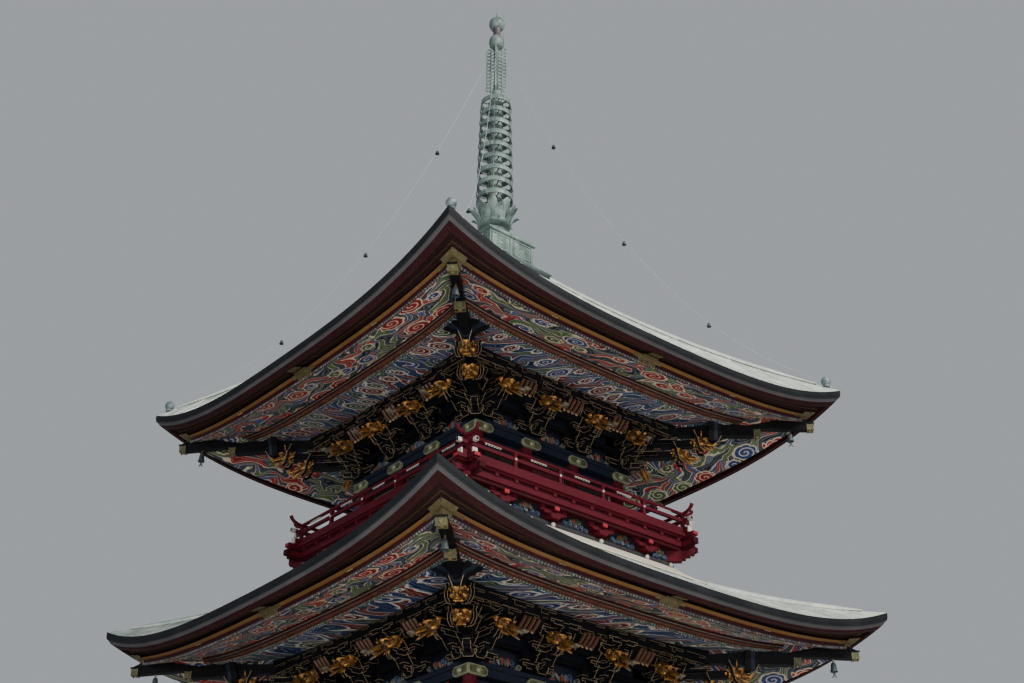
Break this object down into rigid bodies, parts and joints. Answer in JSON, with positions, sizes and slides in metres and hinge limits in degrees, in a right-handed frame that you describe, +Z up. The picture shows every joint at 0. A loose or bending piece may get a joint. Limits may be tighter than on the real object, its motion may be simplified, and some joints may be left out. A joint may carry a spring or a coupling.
{
  "type": "three-storied pagoda",
  "caption": "Tall square timber tower with a deep upturned eave and copper roof on each storey, balconies, stone platform, bronze finial with chains and wind bells.",
  "frame": {"origin": "on the tower's vertical axis at ground level, under the stone base", "axes": "+Z up along the tower's axis, -Y towards the front steps and door, +X to the right seen from the front"},
  "size_m": [10.4, 10.4, 25],
  "materials": {
    "stone": "rough",
    "red_lacquer_wood": "lacquered",
    "black_lacquer_wood": "lacquered",
    "dark_panel_wood": "painted",
    "painted_boards": "painted",
    "eave_edge_wood": "painted",
    "copper_roof": "weathered",
    "pale_waist_wood": "painted",
    "bronze": "weathered green",
    "dark_bronze": "dark patina"
  },
  "bodies": {
    "pagoda": {"stone_base": "stone", "front_steps": "stone", "veranda": "red_lacquer_wood", "veranda_railing": "red_lacquer_wood", "front_door_left": "red_lacquer_wood", "front_door_right": "red_lacquer_wood", "roof_1": "copper_roof", "eave_edge_1": "eave_edge_wood", "eave_boards_1": "painted_boards", "eave_frame_1": "black_lacquer_wood", "brackets_1": "black_lacquer_wood", "wall_frame_1": "black_lacquer_wood", "wall_panels_1": "dark_panel_wood", "roof_2": "copper_roof", "eave_edge_2": "eave_edge_wood", "eave_boards_2": "painted_boards", "eave_frame_2": "black_lacquer_wood", "brackets_2": "black_lacquer_wood", "wall_frame_2": "black_lacquer_wood", "wall_panels_2": "dark_panel_wood", "waist_2": "pale_waist_wood", "balcony_2": "red_lacquer_wood", "railing_2": "red_lacquer_wood", "roof_3": "copper_roof", "eave_edge_3": "eave_edge_wood", "eave_boards_3": "painted_boards", "eave_frame_3": "black_lacquer_wood", "brackets_3": "black_lacquer_wood", "wall_frame_3": "black_lacquer_wood", "wall_panels_3": "dark_panel_wood", "waist_3": "pale_waist_wood", "balcony_3": "red_lacquer_wood", "railing_3": "red_lacquer_wood", "spire_box": "bronze", "spire_bowl": "bronze", "spire_lotus": "bronze", "spire_rings": "bronze", "spire_flames": "bronze", "spire_lower_ball": "bronze", "spire_jewel": "bronze", "corner_knob_front_right": "bronze", "chain_front_right": "bronze", "corner_knob_back_right": "bronze", "chain_back_right": "bronze", "corner_knob_back_left": "bronze", "chain_back_left": "bronze", "corner_knob_front_left": "bronze", "chain_front_left": "bronze"},
    "wind_bell_1_front_right": {"wind_bell_1_front_right": "dark_bronze"},
    "wind_bell_1_back_right": {"wind_bell_1_back_right": "dark_bronze"},
    "wind_bell_1_back_left": {"wind_bell_1_back_left": "dark_bronze"},
    "wind_bell_1_front_left": {"wind_bell_1_front_left": "dark_bronze"},
    "wind_bell_2_front_right": {"wind_bell_2_front_right": "dark_bronze"},
    "wind_bell_2_back_right": {"wind_bell_2_back_right": "dark_bronze"},
    "wind_bell_2_back_left": {"wind_bell_2_back_left": "dark_bronze"},
    "wind_bell_2_front_left": {"wind_bell_2_front_left": "dark_bronze"},
    "wind_bell_3_front_right": {"wind_bell_3_front_right": "dark_bronze"},
    "wind_bell_3_back_right": {"wind_bell_3_back_right": "dark_bronze"},
    "wind_bell_3_back_left": {"wind_bell_3_back_left": "dark_bronze"},
    "wind_bell_3_front_left": {"wind_bell_3_front_left": "dark_bronze"}
  },
  "joints": [
    {"name": "swing_1_front_right", "type": "hinge", "parent": "pagoda", "child": "wind_bell_1_front_right", "pos_m": [4.47875, -4.47875, 5.24], "axis": [0.7071, 0.7071, 0], "range_deg": [-20, 20]},
    {"name": "swing_1_back_right", "type": "hinge", "parent": "pagoda", "child": "wind_bell_1_back_right", "pos_m": [4.47875, 4.47875, 5.24], "axis": [-0.7071, 0.7071, 0], "range_deg": [-20, 20]},
    {"name": "swing_1_back_left", "type": "hinge", "parent": "pagoda", "child": "wind_bell_1_back_left", "pos_m": [-4.47875, 4.47875, 5.24], "axis": [-0.7071, -0.7071, 0], "range_deg": [-20, 20]},
    {"name": "swing_1_front_left", "type": "hinge", "parent": "pagoda", "child": "wind_bell_1_front_left", "pos_m": [-4.47875, -4.47875, 5.24], "axis": [0.7071, -0.7071, 0], "range_deg": [-20, 20]},
    {"name": "swing_2_front_right", "type": "hinge", "parent": "pagoda", "child": "wind_bell_2_front_right", "pos_m": [4.22875, -4.22875, 9.715], "axis": [0.7071, 0.7071, 0], "range_deg": [-20, 20]},
    {"name": "swing_2_back_right", "type": "hinge", "parent": "pagoda", "child": "wind_bell_2_back_right", "pos_m": [4.22875, 4.22875, 9.715], "axis": [-0.7071, 0.7071, 0], "range_deg": [-20, 20]},
    {"name": "swing_2_back_left", "type": "hinge", "parent": "pagoda", "child": "wind_bell_2_back_left", "pos_m": [-4.22875, 4.22875, 9.715], "axis": [-0.7071, -0.7071, 0], "range_deg": [-20, 20]},
    {"name": "swing_2_front_left", "type": "hinge", "parent": "pagoda", "child": "wind_bell_2_front_left", "pos_m": [-4.22875, -4.22875, 9.715], "axis": [0.7071, -0.7071, 0], "range_deg": [-20, 20]},
    {"name": "swing_3_front_right", "type": "hinge", "parent": "pagoda", "child": "wind_bell_3_front_right", "pos_m": [3.97875, -3.97875, 14.135], "axis": [0.7071, 0.7071, 0], "range_deg": [-20, 20]},
    {"name": "swing_3_back_right", "type": "hinge", "parent": "pagoda", "child": "wind_bell_3_back_right", "pos_m": [3.97875, 3.97875, 14.135], "axis": [-0.7071, 0.7071, 0], "range_deg": [-20, 20]},
    {"name": "swing_3_back_left", "type": "hinge", "parent": "pagoda", "child": "wind_bell_3_back_left", "pos_m": [-3.97875, 3.97875, 14.135], "axis": [-0.7071, -0.7071, 0], "range_deg": [-20, 20]},
    {"name": "swing_3_front_left", "type": "hinge", "parent": "pagoda", "child": "wind_bell_3_front_left", "pos_m": [-3.97875, -3.97875, 14.135], "axis": [0.7071, -0.7071, 0], "range_deg": [-20, 20]}
  ]
}
